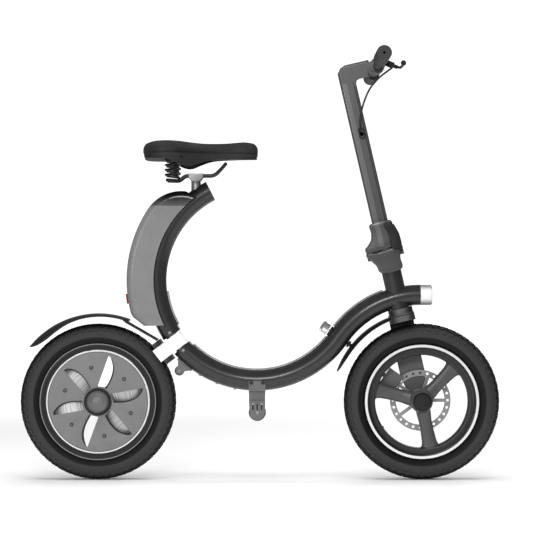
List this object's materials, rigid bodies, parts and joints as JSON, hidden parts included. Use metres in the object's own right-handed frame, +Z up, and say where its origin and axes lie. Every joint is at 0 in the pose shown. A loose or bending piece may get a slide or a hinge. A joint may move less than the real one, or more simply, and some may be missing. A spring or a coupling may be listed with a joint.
{
  "type": "folding bicycle",
  "caption": "Compact folding bicycle: a tube bent round a large open loop, turbine-style rear wheel, battery case, sprung saddle and a folding stem.",
  "frame": {"origin": "on the ground, midway between the two axles, in the middle plane", "axes": "+X forward, +Y to the rider's left, +Z up"},
  "size_m": [1.0939, 0.56, 0.9612],
  "materials": {
    "tube_paint": "gloss dark grey",
    "case_paint": "satin mid grey",
    "polished": "polished",
    "steel": "brushed",
    "alloy": "satin",
    "black_paint": "satin black",
    "grey_paint": "satin grey",
    "black_plastic": "moulded",
    "rubber": "matt",
    "tyre": "matt",
    "leather": "fine grain",
    "red_lens": "clear red",
    "lamp_glass": "clear",
    "cable": "satin jacket",
    "cell_wrap": "heat-shrink"
  },
  "bodies": {
    "frame": {"frame_upper_tube": "tube_paint", "frame_lower_tube": "tube_paint", "fold_journal": "steel", "frame_screws": "steel", "trim_strip": "polished", "headlight_ring": "polished", "headlight_lens": "lamp_glass", "headlight_reflector": "polished", "battery_case_right": "case_paint", "battery_case_left": "case_paint", "battery_pack": "cell_wrap", "tail_light": "red_lens", "rear_roller_bracket": "alloy", "centre_roller_bracket": "alloy", "roller_axles": "steel", "catch_socket": "black_paint", "seat_post": "alloy", "seat_clamp": "alloy", "saddle_rails": "black_paint", "saddle_springs": "black_paint", "headset_bearings": "steel"},
    "saddle_top": {"saddle_shell": "black_plastic", "saddle_cushion": "leather"},
    "catch": {"catch_knob": "polished"},
    "rear_roller_wheel": {"rear_roller": "rubber"},
    "centre_roller_wheel": {"centre_roller": "rubber"},
    "rear_swing": {"fold_block": "polished", "fold_bushes": "steel", "rear_fork": "black_paint", "crown_bumpers": "rubber", "rear_fender": "black_plastic", "fender_stay": "steel", "rear_axle": "steel"},
    "rear_wheel": {"rear_tyre": "tyre", "rear_rim": "black_paint", "turbine_cover": "grey_paint", "cover_screws": "steel", "rear_spokes": "alloy", "rear_hub_cap": "grey_paint"},
    "steering": {"fork": "black_paint", "steering_column": "tube_paint", "front_fender": "black_plastic", "front_axle": "steel", "caliper_body": "grey_paint"},
    "caliper_lever": {"caliper_arm": "steel"},
    "front_wheel": {"front_tyre": "tyre", "front_wheel_casting": "grey_paint", "front_hub_cap": "black_plastic", "brake_rotor": "steel"},
    "stem": {"stem": "tube_paint", "stem_hinge_pin": "steel", "handlebar": "black_paint", "grips": "rubber", "brake_perch": "black_plastic", "brake_cable": "cable"},
    "throttle": {"throttle_sleeve": "rubber"},
    "brake_lever_body": {"brake_lever": "black_paint"},
    "latch": {"latch_lever": "black_paint"},
    "button": {"latch_button": "red_lens"}
  },
  "joints": [
    {"name": "steering_turn", "type": "hinge", "parent": "frame", "child": "steering", "pos_m": [0.31051, 0, 0.43134], "axis": [-0.225, 0, 0.9744], "range_deg": [-60, 60]},
    {"name": "stem_fold", "type": "hinge", "parent": "steering", "child": "stem", "pos_m": [0.25211, 0, 0.51494], "axis": [0, 1, 0], "range_deg": [-30, 0]},
    {"name": "latch_open", "type": "hinge", "parent": "steering", "child": "latch", "pos_m": [0.32002, 0, 0.52795], "axis": [0, 1, 0], "range_deg": [0, 110]},
    {"name": "latch_button_press", "type": "slide", "parent": "latch", "child": "button", "axis": [-0.9744, 0, -0.225], "range_m": [0, 0.002], "stiffness_N_per_m": 400, "springref_m": -0.001},
    {"name": "rear_fold", "type": "hinge", "parent": "frame", "child": "rear_swing", "pos_m": [-0.18977, 0, 0.31519], "axis": [0.6088, 0, -0.7934], "range_deg": [0, 180]},
    {"name": "rear_wheel_spin", "type": "hinge", "parent": "rear_swing", "child": "rear_wheel", "pos_m": [-0.369, 0, 0.178], "axis": [0, 1, 0], "continuous": true},
    {"name": "front_wheel_spin", "type": "hinge", "parent": "steering", "child": "front_wheel", "pos_m": [0.369, 0, 0.178], "axis": [0, 1, 0], "continuous": true},
    {"name": "catch_press", "type": "slide", "parent": "frame", "child": "catch", "axis": [0.8217, 0, -0.5699], "range_m": [0, 0.003], "stiffness_N_per_m": 1500, "springref_m": -0.002},
    {"name": "rear_roller_spin", "type": "hinge", "parent": "frame", "child": "rear_roller_wheel", "pos_m": [-0.18386, 0, 0.24791], "axis": [0, 1, 0], "continuous": true},
    {"name": "centre_roller_spin", "type": "hinge", "parent": "frame", "child": "centre_roller_wheel", "pos_m": [-0.006, 0, 0.153], "axis": [0, 1, 0], "continuous": true},
    {"name": "saddle_sink", "type": "hinge", "parent": "frame", "child": "saddle_top", "pos_m": [-0.064, 0, 0.726], "axis": [0, 1, 0], "range_deg": [-5, 0], "stiffness_Nm_per_rad": 600, "springref_deg": 1.72, "deforming": ["saddle_springs"]},
    {"name": "brake_squeeze", "type": "hinge", "parent": "stem", "child": "brake_lever_body", "pos_m": [0.29218, -0.141, 0.9336], "axis": [-0.3746, 0, -0.9272], "range_deg": [0, 11], "stiffness_Nm_per_rad": 1.5, "springref_deg": -5.73},
    {"name": "caliper_arm_turn", "type": "hinge", "parent": "steering", "child": "caliper_lever", "pos_m": [0.303, 0, 0.224], "axis": [0, 1, 0], "range_deg": [0, 17]},
    {"name": "throttle_twist", "type": "hinge", "parent": "stem", "child": "throttle", "pos_m": [0.26714, 0, 0.94371], "axis": [0, -1, 0], "range_deg": [0, 70], "stiffness_Nm_per_rad": 0.08, "springref_deg": -17.19}
  ],
  "couplings": [
    {"joint": "caliper_arm_turn", "follows": "brake_squeeze", "ratio": 1.5}
  ]
}
